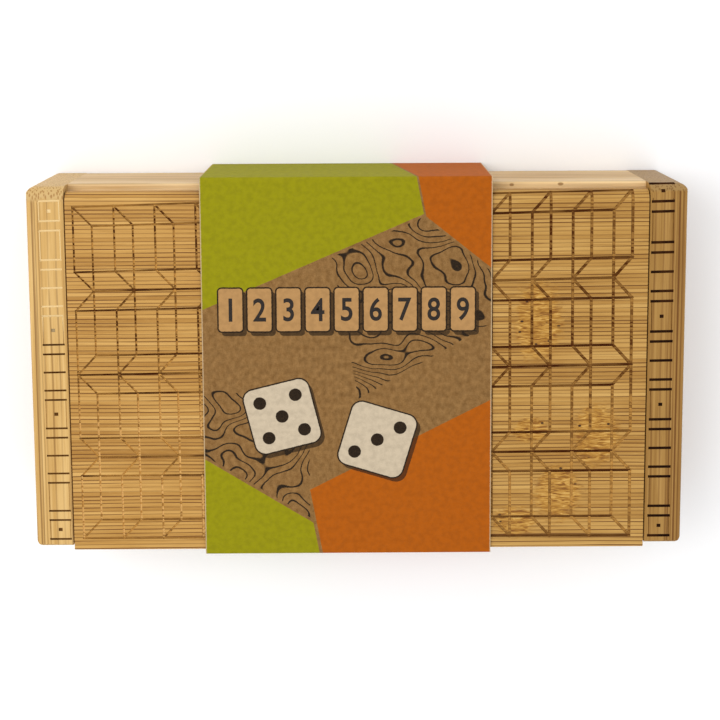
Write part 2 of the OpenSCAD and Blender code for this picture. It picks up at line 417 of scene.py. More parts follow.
def lineBars(lines, width, depth, steps, onSurface, material, name):
    # Each line, from a start to an end, is a bar: a tapered profile carried along it in the
    # surface's flat coordinates, which onSurface(along, across, height) bends onto the surface
    starts, ends = np.moveaxis(np.array(lines, float), 1, 0)
    direction = ends - starts
    length = np.linalg.norm(direction, axis=1, keepdims=True)
    direction = direction / length
    side = np.stack([-direction[:, 1], direction[:, 0]], axis=1)
    profile = np.array([[-0.5, 0.6], [-0.5, 0.0], [-0.28, -1.0], [0.28, -1.0], [0.5, 0.0], [0.5, 0.6]])
    shares = np.linspace(0, 1, steps)[None, :, None, None]
    if isinstance(width, tuple):  # every line widens from its start to its end
        widths = width[0] + (width[1] - width[0]) * shares
        width = min(width)
    else:
        widths = np.broadcast_to(width, len(starts))[:, None, None, None]
    cap = direction * np.reshape(width, (-1, 1)) / 2  # how far a bar goes on past its line's ends
    first = (starts - cap)[:, None, None, :]
    last = (ends + cap)[:, None, None, :]
    middle = first + (last - first) * shares
    flat = middle + side[:, None, None, :] * profile[None, None, :, :1] * widths
    height = np.broadcast_to(profile[:, 1] * depth, flat.shape[:3])
    points = onSurface(flat[..., 0], flat[..., 1], height).reshape(-1, 3)
    bars, rings, ring = len(starts), steps, len(profile)
    base = (np.arange(bars) * rings * ring)[:, None, None]
    row = (np.arange(rings - 1) * ring)[None, :, None]
    here = np.arange(ring)[None, None, :]
    after = (here + 1) % ring
    corner = base + row
    walls = np.stack([corner + here, corner + after, corner + ring + after, corner + ring + here], -1)
    faces = walls.reshape(-1, 4).tolist()
    for bar in range(bars):
        low = bar * rings * ring
        faces.append([low + index for index in reversed(range(ring))])
        faces.append([low + (rings - 1) * ring + index for index in range(ring)])
    return meshPiece(name, points, faces, [material])


def joined(name, parts):
    # One object from several, each part keeping its own material
    points, faces, materials, indices = [], [], [], []
    start = 0
    for part in parts:
        mesh = part.data
        points.append(coordinates(mesh))
        faces += [[start + index for index in face.vertices] for face in mesh.polygons]
        materials += [material for material in mesh.materials if material not in materials]
        slots = [materials.index(material) for material in mesh.materials]
        indices += [slots[face.material_index] for face in mesh.polygons]
        start += len(mesh.vertices)
        bpy.data.objects.remove(part)
    return meshPiece(name, np.concatenate(points), faces, materials, indices)


# The engraving, which runs over the closed lid and both end boards at once

engraving = {
    "shift": -1.2,  # the pattern's middle, from the box's middle
    "halfSpan": 101.6,
    "columnStep": 14.85,
    "columns": 7,  # in each half
    "inset": 6.8,  # an inner column, from its outer one
    "frontRow": -64.6,
    "shortRow": 7.35,
    "longRow": 17.2,
    "fan": 0.00022,  # the rows spread by this share for each millimetre to the right
    "lean": 0.006,
    "width": (0.68, 1.12),  # at the left and at the right end
    "rowWidth": (0.7, 0.98),
    "depth": 0.4,
}


def lineWidths(places, ends):
    # The laser stood closer to the right end, so its lines widen that way
    share = (np.asarray(places) / engraving["halfSpan"] + 1) / 2
    return ends[0] + (ends[1] - ends[0]) * np.clip(share, 0, 1)


def engravingSpot(x, y):
    # The rows fan out to the right and the columns lean, as the laser really ran
    front = engraving["frontRow"]
    spread = front + (y - front) * (1 + engraving["fan"] * x)
    return x + engraving["shift"] - engraving["lean"] * y, spread


def overTop(noseStart, noseRadius, top):
    # Flat coordinates on a board's top, which run over its round edge at the hinge side:
    # past noseStart the distance becomes an angle round the edge's centre
    def onSurface(x, y, height):
        angle = np.maximum(y - noseStart, 0) / noseRadius
        reach = noseRadius + height
        bentY = np.where(angle > 0, noseStart + reach * np.sin(angle), y)
        bentZ = np.where(angle > 0, top - noseRadius + reach * np.cos(angle), top + height)
        return np.stack([x, bentY, bentZ], -1) * mm
    return onSurface


def latticeRows():
    steps = [engraving["shortRow"], engraving["longRow"], engraving["shortRow"]] * 4
    return engraving["frontRow"] + sum(steps) - np.concatenate([[0], np.cumsum(steps)])


def latticeLines():
    # Rows run the whole way. Odd rows start at the outer columns and even rows at the inner
    # ones, upright lines join them in turn, and slanted lines step from one to the other
    rows = latticeRows()
    outer = engraving["halfSpan"] - np.arange(engraving["columns"]) * engraving["columnStep"]
    inner = outer - engraving["inset"]
    level = [((-outer[0] if odd else -inner[0], row), (outer[0] if odd else inner[0], row))
             for row, odd in zip(rows, [True, False] * 7)]
    upright = [(outer, top, low, outer) for top, low in ((0, 2), (4, 8), (10, 12))]
    upright += [(inner, top, low, inner) for top, low in ((1, 5), (7, 11))]
    slanted = [(outer, top, top + 1, inner) for top in (0, 2, 6, 8)]
    slanted += [(inner, top, top + 1, outer) for top in (3, 5, 9, 11)]
    standing = [
        [
            ((side * above, rows[top]), (side * below, rows[low]))
            for start, top, low, stop in lines
            for above, below in zip(start, stop)
            for side in (-1, 1)
        ]
        for lines in (upright, slanted)
    ]
    return level, *standing


def laidOut(lines):
    return [(engravingSpot(*start), engravingSpot(*end)) for start, end in lines]


# The bars on the end boards and walls, in the order in which they follow each other

barCells = {
    "tip": 7.5,
    "narrow": 3.65,
    "middle": 7.0,
    "wide": 11.05,
    "order": (
        "tip narrow wide narrow middle middle narrow wide narrow middle "
        "middle narrow wide narrow middle middle narrow wide narrow tip"
    ),
    "dotted": (0, 7, 12, 19),  # cells with a dot in their middle
    "width": {-1: 0.7, 1: 1.0},  # on the left and right end boards
    "smeared": {-1: 1.0, 1: 2.1},  # the last bar lies across the round edge, where the laser spreads it
    "depth": 0.45,
    "dot": 1.25,
    "sideWidth": 0.3,
    "sideDepth": 0.14,
    "start": -0.2,  # the first bar, from the lid's front row
}


def barPlaces():
    sizes = [barCells[word] for word in barCells["order"].split()]
    bars = engraving["frontRow"] + barCells["start"] + np.concatenate([[0], np.cumsum(sizes)])
    dots = [(bars[cell] + bars[cell + 1]) / 2 for cell in barCells["dotted"]]
    return bars, np.array(dots)


def barBand(side, low, high, places, dots, spot, onSurface, materials, name):
    # Bars across a band from low to high, dots in its middle, and thin sides to the long cells
    middle = (low + high) / 2
    barLines = [(spot(low, place), spot(high, place)) for place in places]
    dotLines = [(spot(middle - 0.1, place), spot(middle + 0.1, place)) for place in dots]
    sideLines = [
        (spot(edge, first), spot(edge, second))
        for edge in (low, high)
        for first, second, word in zip(places[:-1], places[1:], barCells["order"].split())
        if word in ("wide", "tip")
    ]
    widths = np.full(len(places), barCells["width"][side])
    widths[-1] *= barCells["smeared"][side]
    bars = (
        (barLines, widths, barCells["depth"], 2, materials[0]),
        (dotLines, barCells["dot"], barCells["depth"], 2, materials[0]),
        (sideLines, barCells["sideWidth"], barCells["sideDepth"], 3, materials[1]),
    )
    return joined(name, [
        lineBars(lines, width, depth, steps, onSurface, material, name)
        for lines, width, depth, steps, material in bars
    ])


# Clusters of upright bars round the outside of the box

clusterLook = {
    "pitch": 24.0,
    "bars": ((-7.4, 5.0), (-4.2, 8.5), (-1.4, 6.0), (1.4, 6.0), (4.2, 8.5), (7.4, 5.0)),  # place, half height
    "middle": 18.5,
    "width": 0.95,
    "depth": 0.4,
    "margin": 10.0,
}


def barGroups(low, high, onSurface, material):
    # As many whole clusters as fit between low and high, spaced evenly about the middle
    pitch, margin = clusterLook["pitch"], clusterLook["margin"]
    count = int((high - low - 2 * margin) / pitch)
    centres = (low + high) / 2 + (np.arange(count) - (count - 1) / 2) * pitch
    middle, width, depth = (clusterLook[key] for key in ("middle", "width", "depth"))
    bars = [(centre + place, half) for centre in centres for place, half in clusterLook["bars"]]
    lines = [((place, middle - half), (place, middle + half)) for place, half in bars]
    return lineBars(lines, width, depth, 2, onSurface, material, "clusters")


# The lid

lidLook = {
    "edgeRound": 0.3 * mm,
    "burrs": (
        (66, 17, 9, 15), (88, -26, 9, 12), (74, -48, 9, 11), (58, -59, 8, 6),
        (64, -24, 7, 5), (-22, 34, 8, 12), (-40, -52, 9, 8),
    ),
    "noseRadius": 4.0,
    # Colour multipliers: darker towards the right end, and painted shade over the round back edge
    "shaded": ((0, -20, 50, (0.925, 0.935, 0.915)), (1, 62, 64, (0.96, 0.95, 0.9))),
    "rowDark": paint(70, 28, 2),
    "rowLight": paint(172, 126, 62),
    "columnDark": paint(84, 42, 6),
    "columnLight": paint(190, 142, 72),
    "scratched": paint(216, 174, 108),
}


def makeLid():
    _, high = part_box("lid_board")
    top, back = high.z / mm, high.y / mm
    radius = lidLook["noseRadius"]
    bamboo = bambooMaterial(
        "bambooLid", burrs=lidLook["burrs"], fibre=0.6, shaded=lidLook["shaded"],
        nose=(back - radius, radius, top - radius)
    )
    along = burntMaterial(
        "burntRows", lidLook["rowDark"], lidLook["rowLight"], 0.15,
        firmFrom=(-70, 60), faintTo=(-40, -66), faintness=(0.8, 0.2)
    )
    across = burntMaterial(
        "burntColumns", lidLook["columnDark"], lidLook["columnLight"], 0.75,
        firmFrom=(-50, 70), faintTo=(20, -35), drawn=(0.06, 0.04), patches=0.4, scratched=lidLook["scratched"]
    )
    aslant = burntMaterial(
        "burntSlants", lidLook["columnDark"], lidLook["columnLight"], 0.6,
        firmFrom=(-50, 70), faintTo=(20, -45), faintness=(0.35, 0.3), drawn=(0.06, 0.04), patches=0.4
    )
    lid = boardFromNode("lid_board", "engravedLid", bamboo, lidLook["edgeRound"])
    surface = overTop(back - radius, radius, top)
    level, upright, slanted = latticeLines()
    depth = engraving["depth"]
    rows = lineBars(laidOut(level), engraving["rowWidth"], depth * 1.15, 12, surface, along, "rowCutter")
    cutters = [rows]
    for lines, material in ((upright, across), (slanted, aslant)):
        lines = laidOut(lines)
        widths = lineWidths(np.mean(lines, axis=1)[:, 0], engraving["width"])
        cutters.append(lineBars(lines, widths, depth, 24, surface, material, "columnCutter"))
    carve(lid, joined("lidCutter", cutters))
    finishShading(lid)
    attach(lid, "lid")
    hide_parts("lid_board")


# The end boards

endLook = {
    "edgeRound": 0.3 * mm,
    "noseRadius": 4.0,
    "barFrom": 1.2,  # from the joint with the lid
    "barTo": 8.6,
    "stripWidth": 2.6,
    "paleFrom": {-1: (8, 22), 1: None},  # at the left and right end
    "left": {
        "deep": paint(182, 137, 70), "middle": paint(205, 164, 97), "pale": paint(223, 186, 122),
        "grainEnd": paint(198, 166, 110), "grainDot": paint(146, 100, 46), "grainFrom": (62.4, 64.6),
        "laminations": ((-118.0, 0.25, 0.6), (-117.0, 0.15, 0.5), (-115.9, 0.1, 0.45)),
        "burns": (paint(78, 44, 12), paint(140, 98, 46)),
        "sides": (paint(150, 108, 54), paint(196, 154, 90)),
    },
    "right": {
        "deep": paint(136, 95, 38), "middle": paint(160, 119, 57), "pale": paint(180, 139, 76),
        "grainEnd": paint(156, 125, 77), "grainDot": paint(108, 76, 38),
        "laminations": ((115.0, 0.2, 0.7), (117.2, 0.3, 0.85), (118.5, 0.2, 0.7)),
        "burns": (paint(34, 14, 4), paint(84, 46, 14)),
        "sides": (paint(104, 66, 24), paint(150, 108, 52)),
    },
}


def makeEnd(nodeName, pieceName, tones, side):
    low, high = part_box(nodeName)
    top, back = high.z / mm, high.y / mm
    inner = (low.x if side > 0 else high.x) / mm
    axes = {"axes": (1, 0, 2), "stripWidth": endLook["stripWidth"]}
    bamboo = bambooMaterial("bamboo" + pieceName, jointShare=0.45, fibre=0.5, streaks=0.55, **axes, **tones)
    burns = {"firmFrom": (-300, -200), **axes}  # firm all along
    pale = {"paleFrom": endLook["paleFrom"][side], **burns}
    bars = burntMaterial("burntBars" + pieceName, *tones["burns"], 0.2, **pale)
    faint = burntMaterial("burntSides" + pieceName, *tones["sides"], 0.5, **pale)
    sunk = burntMaterial("burntClusters" + pieceName, *tones["burns"], 0.2, **burns)
    board = boardFromNode(nodeName, pieceName, bamboo, endLook["edgeRound"])
    places, dots = barPlaces()
    surface = overTop(back - endLook["noseRadius"], endLook["noseRadius"], top)
    edges = sorted([inner + side * endLook["barFrom"], inner + side * endLook["barTo"]])
    shift = engraving["shift"]
    spots = places, dots, engravingSpot, surface
    band = barBand(side, edges[0] - shift, edges[1] - shift, *spots, [bars, faint], "endCutter")
    outer = (high.x if side > 0 else low.x) / mm

    def onSide(along, up, height):
        return np.stack([outer + side * height, side * along, up], -1) * mm

    groups = barGroups(low.y / mm, high.y / mm, onSide, sunk)
    carve(board, joined("endCutter", [band, groups]))
    finishShading(board)
    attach(board, "tray")
    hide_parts(nodeName)


# The walls, floor and rails of the tray

wallLook = {
    "deep": paint(192, 154, 98), "middle": paint(216, 183, 132), "pale": paint(232, 204, 158),
    "stripWidth": 14.0, "jointShare": 0.3, "jointWidth": 0.015, "fibre": 0.35, "streaks": 0.5,
    "knots": (((57, 34.3, 66.4), 0.7), ((75, 34.3, 66.6), 0.9)), "edgeRound": 0.3 * mm,
    # The top strip of every wall has its colour multiplied by 1.3: a painted highlight
    "burns": (paint(46, 22, 8), paint(112, 70, 28)), "shaded": ((1, 33.7, 34.2, (1.3, 1.3, 1.25)),),
}
floorLook = {
    "deep": paint(178, 130, 72), "middle": paint(206, 162, 100), "pale": paint(224, 186, 126),
    "stripWidth": 17.0, "jointShare": 0.55, "jointWidth": 0.02, "fibre": 0.5, "streaks": 0.45,
}


def dress(nodeName, material):
    mesh = nodes[nodeName].data
    mesh.materials.clear()
    mesh.materials.append(material)


def makeTray():
    wall = bambooMaterial("bambooWall", axes=(0, 2, 1), **wallLook)
    dress("back_wall", wall)
    front = boardFromNode("front_wall", "engravedFront", wall, wallLook["edgeRound"])
    low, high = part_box("front_wall")

    def onFront(along, up, height):
        return np.stack([along, low.y / mm - height, up], -1) * mm

    burnt = burntMaterial("burntFront", *wallLook["burns"], 0.2, axes=(0, 2, 1))
    carve(front, barGroups(low.x / mm, high.x / mm, onFront, burnt))
    finishShading(front)
    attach(front, "tray")
    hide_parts("front_wall")
    dress("floor_panel", bambooMaterial("bambooFloor", axes=(0, 1, 2), **floorLook))
    rail = bambooMaterial("bambooRail", axes=(0, 1, 2), **{**wallLook, "stripWidth": 7.0, "shaded": ()})
    for nodeName in ("divider_rail", "tile_rest", "corner_dowels"):
        dress(nodeName, rail)


# Steel rod and pins

def makeSteel():
    material, tree, sockets = newMaterial("drawnSteel", 0.32)
    sockets["Metallic"].default_value = 1.0
    grain = noise(spotOn(tree, (0.03, 6, 6)), 3.0)
    plug(sockets["Base Color"], shades(grain, (0.3, paint(150, 150, 152)), (0.7, paint(204, 204, 206))))
    plug(sockets["Roughness"], calc("MULTIPLY_ADD", grain, 0.3, 0.18))
    for nodeName in ("tile_rod", "hinge_pin_left", "hinge_pin_right"):
        dress(nodeName, material)


# The nine number tiles

tileLook = {
    "edgeRound": 0.35 * mm,
    "lean": math.radians(45),
    "digitHeight": 12.5,
    "digitWeight": 0.0,
    "digitNarrow": 0.72,
    "digitPlace": 0.58,  # share of the tile's length, from the rod to the tip
    "digitDepth": 0.35,
    "burnt": paint(122, 52, 22),
    "burntPale": paint(164, 88, 46),
}


def digitShape(number, place, material, look):
    # A number as a solid: the outline of the built-in typeface given a thickness, its middle
    # at the origin, then laid on a face by place
    text = bpy.data.curves.new("digit", "FONT")
    text.body = str(number)
    text.size = 1.0
    text.offset = look["digitWeight"]
    text.extrude = 0.5
    text.resolution_u = 6
    holder = placed("digit", text)
    scene = bpy.context.evaluated_depsgraph_get()
    mesh = bpy.data.meshes.new_from_object(holder.evaluated_get(scene))
    bpy.data.objects.remove(holder)
    mesh.calc_loop_triangles()
    points = coordinates(mesh)
    faces = np.array([triangle.vertices for triangle in mesh.loop_triangles])
    low, high = points.min(0), points.max(0)
    size = look["digitHeight"] * mm / (high[1] - low[1])
    points = (points - (low + high) / 2) * [size * look["digitNarrow"], size, 2 * look["digitDepth"] * mm]
    points, faces = welded(points, faces)
    turned = np.array([place @ Vector(point) for point in points])
    return meshPiece("digit", turned, faces, [material])


def makeTiles():
    lean = tileLook["lean"]
    look = {
        "axes": (1, 0, 2), "turn": -lean, "stripWidth": 9.0, "jointShare": 0.4, "jointWidth": 0.02,
        "fibre": 0.5, "deep": paint(190, 140, 84), "middle": paint(216, 172, 116),
        "pale": paint(232, 196, 144),
    }
    bamboo = bambooMaterial("bambooTile", **look)
    burnt = burntMaterial("burntDigits", tileLook["burnt"], tileLook["burntPale"], 0.2, **look)
    rodLow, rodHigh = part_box("tile_rod")
    rod = (rodLow + rodHigh) / 2
    for number in range(1, 10):
        nodeName = f"tile_{number}"
        low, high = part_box(nodeName)
        tile = boardFromNode(nodeName, f"numberTile{number}", bamboo, tileLook["edgeRound"])
        points = coordinates(tile.data)
        up = np.array([0, math.cos(lean), math.sin(lean)])
        out = np.array([0, -math.sin(lean), math.cos(lean)])
        fromRod = points - np.array(rod)
        reach, face = (fromRod @ up).max(), (fromRod @ out).max()
        spot = np.array(rod) + up * reach * tileLook["digitPlace"] + out * face
        spot[0] = (low.x + high.x) / 2
        place = Matrix((
            (1, 0, 0, spot[0]), (0, up[1], out[1], spot[1]), (0, up[2], out[2], spot[2]), (0, 0, 0, 1)
        ))
        carve(tile, digitShape(number, place, burnt, tileLook))
        finishShading(tile)
        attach(tile, f"number_{number}")
        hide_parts(nodeName)


# The dice

dieLook = {
    "edge": 16.0,
    "edgeRound": 1.1,
    "cornerReach": 11.52,  # a ball of this radius cuts the corners
    "pipRadius": 2.0,
    "pipDepth": 0.7,
    "pipStep": 0.27,
    "cells": 60,  # on each side of a face
    "wood": ((0.3, paint(214, 186, 142)), (0.52, paint(234, 212, 174)), (0.75, paint(244, 228, 198))),
    "pip": paint(38, 22, 16),
    "turns": {"die_1": (0, 28), "die_2": (90, -17)},  # about X, then about Z
}
pipSpots = {
    1: [(0, 0)],
    2: [(-1, -1), (1, 1)],
    3: [(-1, -1), (0, 0), (1, 1)],
    4: [(-1, -1), (1, 1), (-1, 1), (1, -1)],
    5: [(-1, -1), (1, 1), (-1, 1), (1, -1), (0, 0)],
    6: [(-1, -1), (1, 1), (-1, 1), (1, -1), (-1, 0), (1, 0)],
}


def dieSurface():
    # Six square grids on a cube. Each point is drawn in to a smaller cube and pushed out again
    # by the edge radius, a ball cuts the corners, and every pip is a ball's dent
    half, soft, cells = dieLook["edge"] / 2, dieLook["edgeRound"], dieLook["cells"]
    radius, step = dieLook["pipRadius"], dieLook["pipStep"] * dieLook["edge"]
    places = np.linspace(-1, 1, cells + 1)
    across, upward = np.meshgrid(places, places, indexing="ij")
    faces = {6: (0, 0, 1), 1: (0, 0, -1), 2: (0, -1, 0), 5: (0, 1, 0), 3: (1, 0, 0), 4: (-1, 0, 0)}
    points, quads, paintDepth = [], [], []
    index = np.arange((cells + 1) ** 2).reshape(cells + 1, cells + 1)
    ballCentre = radius - dieLook["pipDepth"]
    rim = math.sqrt(radius ** 2 - ballCentre ** 2)
    for number, normal in faces.items():
        normal = np.array(normal, float)
        first = np.roll(normal, 1)
        second = np.cross(normal, first)
        cube = (normal + across[..., None] * first + upward[..., None] * second) * half
        core = np.clip(cube, -(half - soft), half - soft)
        away = cube - core
        skin = core + away / np.linalg.norm(away, axis=-1, keepdims=True) * soft
        skin *= np.minimum(1, dieLook["cornerReach"] / np.linalg.norm(skin, axis=-1, keepdims=True))
        nearest = np.full(across.shape, 9.0)
        for spot in pipSpots[number]:
            offset = np.stack([across * half, upward * half], -1) - np.array(spot) * step
            nearest = np.minimum(nearest, np.linalg.norm(offset, axis=-1))
        dent = np.sqrt(np.maximum(radius ** 2 - nearest ** 2, ballCentre ** 2)) - ballCentre
        skin -= normal * dent[..., None]
        start = len(points) * (cells + 1) ** 2
        points.append(skin.reshape(-1, 3))
        paintDepth.append((rim - nearest).reshape(-1))
        ring = [index[:-1, :-1], index[1:, :-1], index[1:, 1:], index[:-1, 1:]]
        quads.append(start + np.stack(ring, -1).reshape(-1, 4))
    return np.concatenate(points), np.concatenate(quads), np.concatenate(paintDepth)


def dieMaterial():
    material, tree, sockets = newMaterial("dieWood", 0.42)
    grain = noise(spotOn(tree, (0.25, 2.4, 2.4)), 4.0)
    wood = shades(grain, *dieLook["wood"])
    depth = made(tree, "Attribute", {}, "Fac", attribute_type="GEOMETRY", attribute_name="pipPaint")
    colour = blend(rise(depth, -0.02, 0.1), wood, dieLook["pip"])
    finishLook(sockets, colour, grain, 0.03 * mm)
    return material


def makeDice():
    points, quads, paintDepth = dieSurface()
    material = dieMaterial()
    for nodeName, bodyName in (("die_1", "first_die"), ("die_2", "second_die")):
        low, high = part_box(nodeName)
        tip, turn = (math.radians(angle) for angle in dieLook["turns"][nodeName])
        spin = np.array(Matrix.Rotation(turn, 3, "Z") @ Matrix.Rotation(tip, 3, "X"))
        placed = points @ spin.T * mm + np.array((low + high) / 2)
        firsts, groups = merged(placed, 0.001)
        die = meshPiece(nodeName.replace("_", ""), placed[firsts], groups[quads], [material])
        attribute = die.data.attributes.new("pipPaint", "FLOAT", "POINT")
        attribute.data.foreach_set("value", paintDepth[firsts].astype(np.float32))
        die.data.shade_smooth()
        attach(die, bodyName)
        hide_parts(nodeName)


# The card sleeve

sleeveLook = {
    "card": 0.5,
    "fold": 0.9,  # outer radius of a fold
    "foldSteps": 7,
    "panelSteps": 16,
    "columns": 24,
    "flap": 18.0,
    "flapSteps": 6,
    "kraft": paint(149, 112, 66),
    "kraftDark": paint(113, 79, 39),
    "cutEdge": paint(206, 182, 146),
    "cutShade": paint(184, 156, 116),
    "shred": paint(96, 64, 34),
}


def sleevePath(low, high):
    # The middle line of the card as seen from the side: up the back panel, over the top, down
    # the front, under the box and up again as the flap, with a quarter circle at each fold
    card, radius = sleeveLook["card"], sleeveLook["fold"]
    half = card / 2
    inner = radius - half
    back, front = high.y / mm - half, low.y / mm + half
    top, bottom = high.z / mm - half, low.z / mm + half
    flap = back - card
    corners = [(back, top, 0), (front, top, 90), (front, bottom, 180), (flap, bottom, 270)]
    points = [np.array([[back, bottom]])]
    for y, z, start in corners:
        centre = np.array([
            y - inner if start in (0, 270) else y + inner,
            z - inner if start in (0, 90) else z + inner,
        ])
        angles = np.radians(start + np.linspace(0, 90, sleeveLook["foldSteps"]))
        arc = centre + inner * np.stack([np.cos(angles), np.sin(angles)], -1)
        last = points[-1][-1]
        run = last + (arc[0] - last) * np.linspace(0, 1, sleeveLook["panelSteps"] + 1)[1:-1, None]
        points += [run, arc]
    last = points[-1][-1]
    tip = np.array([flap, bottom + sleeveLook["flap"]])
    points.append(last + (tip - last) * np.linspace(0, 1, sleeveLook["flapSteps"])[1:, None])
    return np.concatenate(points)


def makeSleeve():
    # Two skins half a card's thickness off the path, carried along the box, with the card's
    # cut edges closed between them. The map unrolls the card: along the box, then along the path
    low = Vector(np.min([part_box(name)[0] for name in sleeveNodes], axis=0))
    high = Vector(np.max([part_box(name)[1] for name in sleeveNodes], axis=0))
    path = sleevePath(low, high)
    tangent = np.gradient(path, axis=0)
    tangent /= np.linalg.norm(tangent, axis=1, keepdims=True)
    normal = np.stack([tangent[:, 1], -tangent[:, 0]], -1)
    length = np.concatenate([[0], np.cumsum(np.linalg.norm(np.diff(path, axis=0), axis=1))])
    along = np.linspace(low.x, high.x, sleeveLook["columns"] + 1) / mm
    rows, columns = len(path), len(along)
    skins, maps = [], []
    for side in (1, -1):
        skin = path + normal * side * sleeveLook["card"] / 2
        grid = np.empty((rows, columns, 3))
        grid[..., 0] = along
        grid[..., 1:] = skin[:, None, :]
        skins.append(grid.reshape(-1, 3) * mm)
        maps.append(np.stack(np.broadcast_arrays(along[None, :], length[:, None]), -1).reshape(-1, 2))
    index = np.arange(rows * columns).reshape(rows, columns)
    inside = index + rows * columns
    quads, kinds = [], []

    def addQuads(corners, kind):
        quad = np.stack(corners, -1).reshape(-1, 4)
        quads.append(quad)
        kinds.append(np.full(len(quad), kind))

    addQuads([index[:-1, :-1], index[1:, :-1], index[1:, 1:], index[:-1, 1:]], 0)
    addQuads([inside[:-1, :-1], inside[:-1, 1:], inside[1:, 1:], inside[1:, :-1]], 1)
    addQuads([index[:-1, 0], inside[:-1, 0], inside[1:, 0], index[1:, 0]], 2)
    addQuads([index[:-1, -1], index[1:, -1], inside[1:, -1], inside[:-1, -1]], 2)
    addQuads([index[0, :-1], index[0, 1:], inside[0, 1:], inside[0, :-1]], 2)
    addQuads([index[-1, :-1], inside[-1, :-1], inside[-1, 1:], index[-1, 1:]], 2)
    materials = [printedCard(length, path), plainCard(), cutCard()]
    sleeve = meshPiece(
        "cardSleeve", np.concatenate(skins), np.concatenate(quads), materials, np.concatenate(kinds)
    )
    unrolled = sleeve.data.uv_layers.new(name="unrolled")
    corners = np.empty(len(sleeve.data.loops), np.int32)
    sleeve.data.loops.foreach_get("vertex_index", corners)
    unrolled.data.foreach_set("uv", np.concatenate(maps)[corners].ravel() * mm)
    finishShading(sleeve, 60)
    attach(sleeve, "sleeve")
    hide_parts(*sleeveNodes)


sleeveNodes = [
    "sleeve_top_panel", "sleeve_front_panel", "sleeve_bottom_panel", "sleeve_back_panel", "sleeve_glue_flap"
]


def kraftColour(where):
    # Pulp clouds, fine tooth and scattered dark fibres
    cloud = noise(where * (0.6, 0.45, 0.6), 3.0)
    tooth = noise(where * (3.2, 3.2, 3.2), 3.0)
    colour = shades(cloud * 0.5 + tooth * 0.5, (0.34, sleeveLook["kraftDark"]), (0.64, sleeveLook["kraft"]))
    shred = rise(noise(where * (0.9, 1.6, 1.0), 2.0, 2.5), 0.68, 0.76)
    return blend(shred * 0.35, colour, sleeveLook["shred"]), tooth


def plainCard():
    material, tree, sockets = newMaterial("kraftInside", 0.85)
    colour, tooth = kraftColour(spotOn(tree, 1))
    finishLook(sockets, colour, tooth, 0.03 * mm)
    return material


def cutCard():
    material, tree, sockets = newMaterial("cutCardEdge", 0.9)
    fuzz = noise(spotOn(tree, 4))
    colour = shades(fuzz, (0.35, sleeveLook["cutShade"]), (0.6, sleeveLook["cutEdge"]))
    finishLook(sockets, colour, fuzz, 0.05 * mm)
    return material


# The print on the sleeve: facets of flat colour, contour lines, two dice and a row of nine
# tiles. Places are in millimetres from the middle of the top panel, along the box and then
# towards the hinge side

printLook = {
    "middle": (-4.0, 0.0),
    "orange": paint(170, 84, 0),
    "lime": paint(141, 138, 0),
    "black": paint(16, 13, 11),
    "cream": paint(198, 182, 156),
    "tileInk": paint(176, 134, 84),
    "wear": paint(192, 166, 130),
    # facets: (ink, (direction that each side faces in degrees, its distance from the middle))
    "facets": (
        ("lime", ((293.4, -41.2), (10.95, 38.5))),
        ("orange", ((190.95, -39.2), (231.3, -62.0))),
        ("orange", ((116.9, -34.7), (190.6, 22.2))),
        ("lime", ((58.4, -56.7), (10.6, -23.4))),
    ),
    "contours": (  # the areas that show contour lines, given as the facets are
        ((113.4, 40.2), (51.3, 61.0), (300, 12), (190, -2)),
        ((238.4, 55.6), (80, -16), (0, -14)),
    ),
    "contourCount": 24.0,
    "dice": (  # middle, turn in degrees, edge, pips
        ((-24.0, -18.0), 14.0, 25.0, 5),
        ((11.0, -27.0), -17.0, 25.0, 3),
    ),
    "tileRow": (0.0, 22.0),
    "tilePitch": 10.6,
    "tileHalf": (4.6, 8.2),
    "corner": 1.4,
    "outline": 0.55,
    "bleed": 0.08,  # the ink's soft edge
    "shadow": (1.3, -1.5),
    "uneven": ((0.36, (0.9, 0.9, 0.9, 1)), (0.6, (1.04, 1.04, 1.04, 1))),
    "halfWidth": 53.0,  # of the panel, from its middle to a cut edge
    "digitHeight": 8.6,
    "digitWeight": 0.015,
    "digitNarrow": 0.85,
    "digitDepth": 0.02,
}


def facet(spot, sides):
    # The largest of the distances to the sides is below zero only inside all of them
    reaches = []
    for degrees, distance in sides:
        angle = math.radians(degrees)
        reaches.append(calc("DOT_PRODUCT", spot, (math.cos(angle), math.sin(angle), 0)) - distance)
    return extreme("MAXIMUM", reaches)


def inked(distance):
    return rise(distance, printLook["bleed"], -printLook["bleed"])


def placesOn(spot, centre, degrees):
    # Coordinates turned about a shape's centre, and the same for its shadow
    shifted = [centre[axis] + printLook["shadow"][axis] for axis in (0, 1)]
    inputs = {"Vector": spot, "Rotation": (0, 0, math.radians(degrees))}
    return [
        made(spot.tree, "Mapping", {**inputs, "Location": (*middle, 0)}, vector_type="TEXTURE")
        for middle in (centre, shifted)
    ]


def roundedBox(spot, halfWidth, halfHeight, radius):
    # Distance to a rectangle with round corners
    excess = abs(spot) - (halfWidth - radius, halfHeight - radius, 0)
    return calc("LENGTH", calc("MAXIMUM", excess, (0, 0, 0))) - radius


def drawnShape(colour, distance, shadow, fill):
    # A filled shape with a black outline over its own flat shadow
    colour = blend(inked(shadow) * 0.8, colour, printLook["black"])
    colour = blend(inked(distance), colour, fill)
    return blend(inked(abs(distance) - printLook["outline"] / 2), colour, printLook["black"])


def drawnDie(colour, spot, centre, degrees, edge, pips):
    places = placesOn(spot, centre, degrees)
    distances = [roundedBox(place, edge / 2, edge / 2, edge * 0.16) for place in places]
    colour = drawnShape(colour, *distances, printLook["cream"])
    step = edge * dieLook["pipStep"]
    reaches = [calc("LENGTH", places[0] - (x * step, y * step, 0)) for x, y in pipSpots[pips]]
    return blend(inked(extreme("MINIMUM", reaches) - edge * 0.095), colour, printLook["black"])


